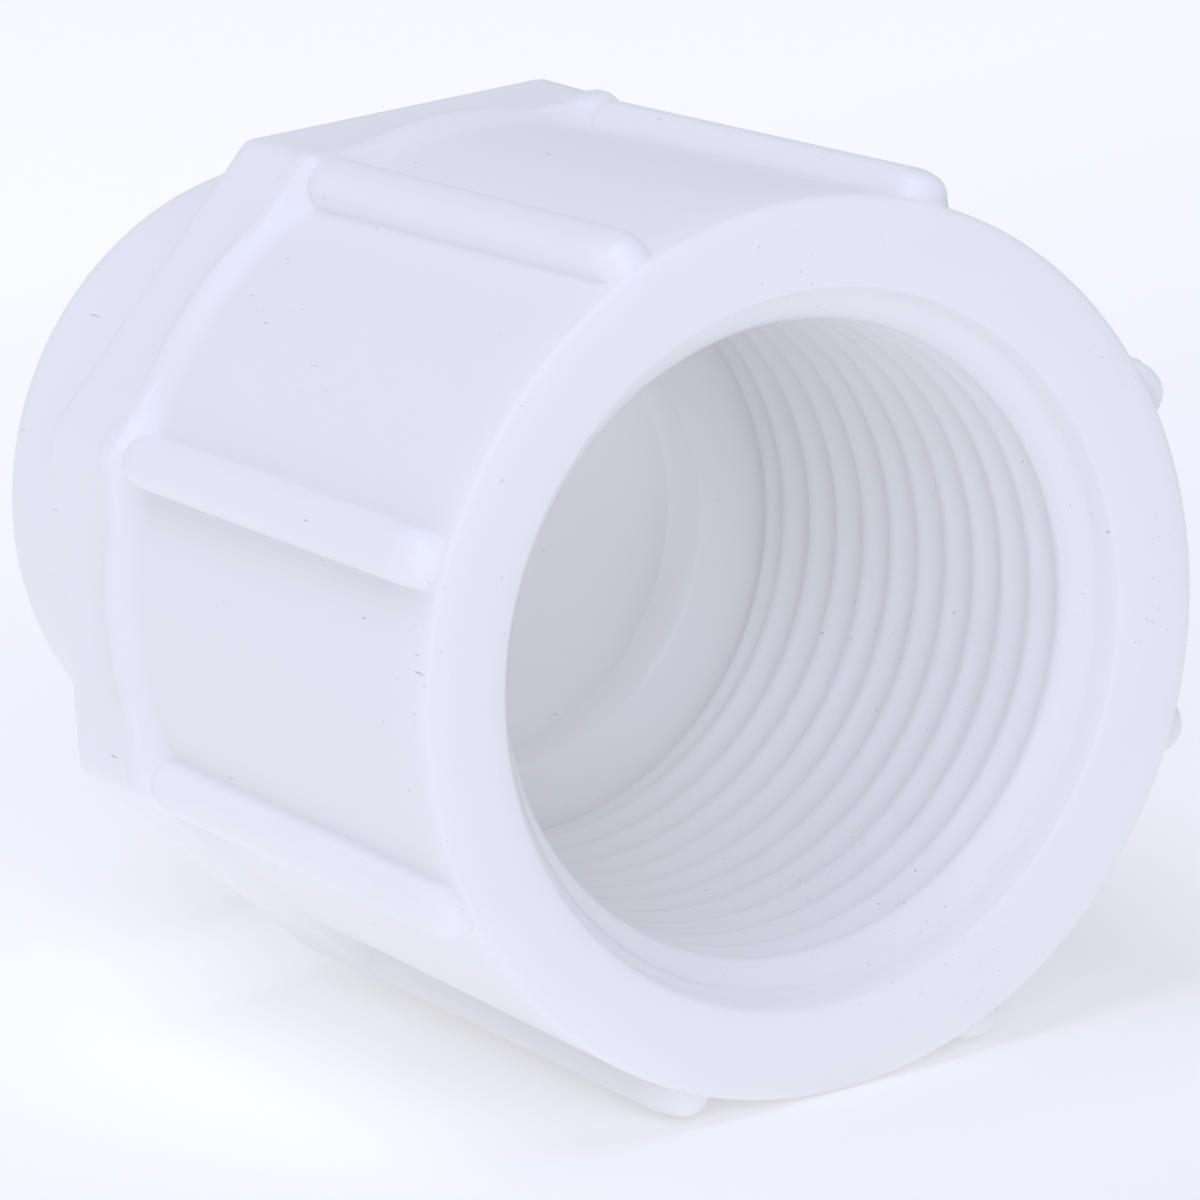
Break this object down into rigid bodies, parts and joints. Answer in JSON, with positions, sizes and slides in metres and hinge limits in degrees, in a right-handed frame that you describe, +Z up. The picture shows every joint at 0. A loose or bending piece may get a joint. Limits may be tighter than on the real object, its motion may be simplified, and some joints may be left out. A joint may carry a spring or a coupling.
{
  "type": "threaded pipe adapter",
  "caption": "Moulded white PVC female pipe adapter: ribbed barrel with a tapered internal thread, octagonal wrench collar, and a smaller round hub with a plain pipe socket.",
  "frame": {"origin": "centre of the bounding box's bottom, on the surface the fitting lies on", "axes": "+Y along the fitting's axis from the threaded mouth to the socket hub, +Z up, with the fitting lying on two of its ribs"},
  "size_m": [0.0428, 0.0484, 0.0428],
  "materials": {
    "white_pvc": "satin moulded surface"
  },
  "bodies": {
    "root": {"adapter_body": "white_pvc"}
  },
  "joints": []
}
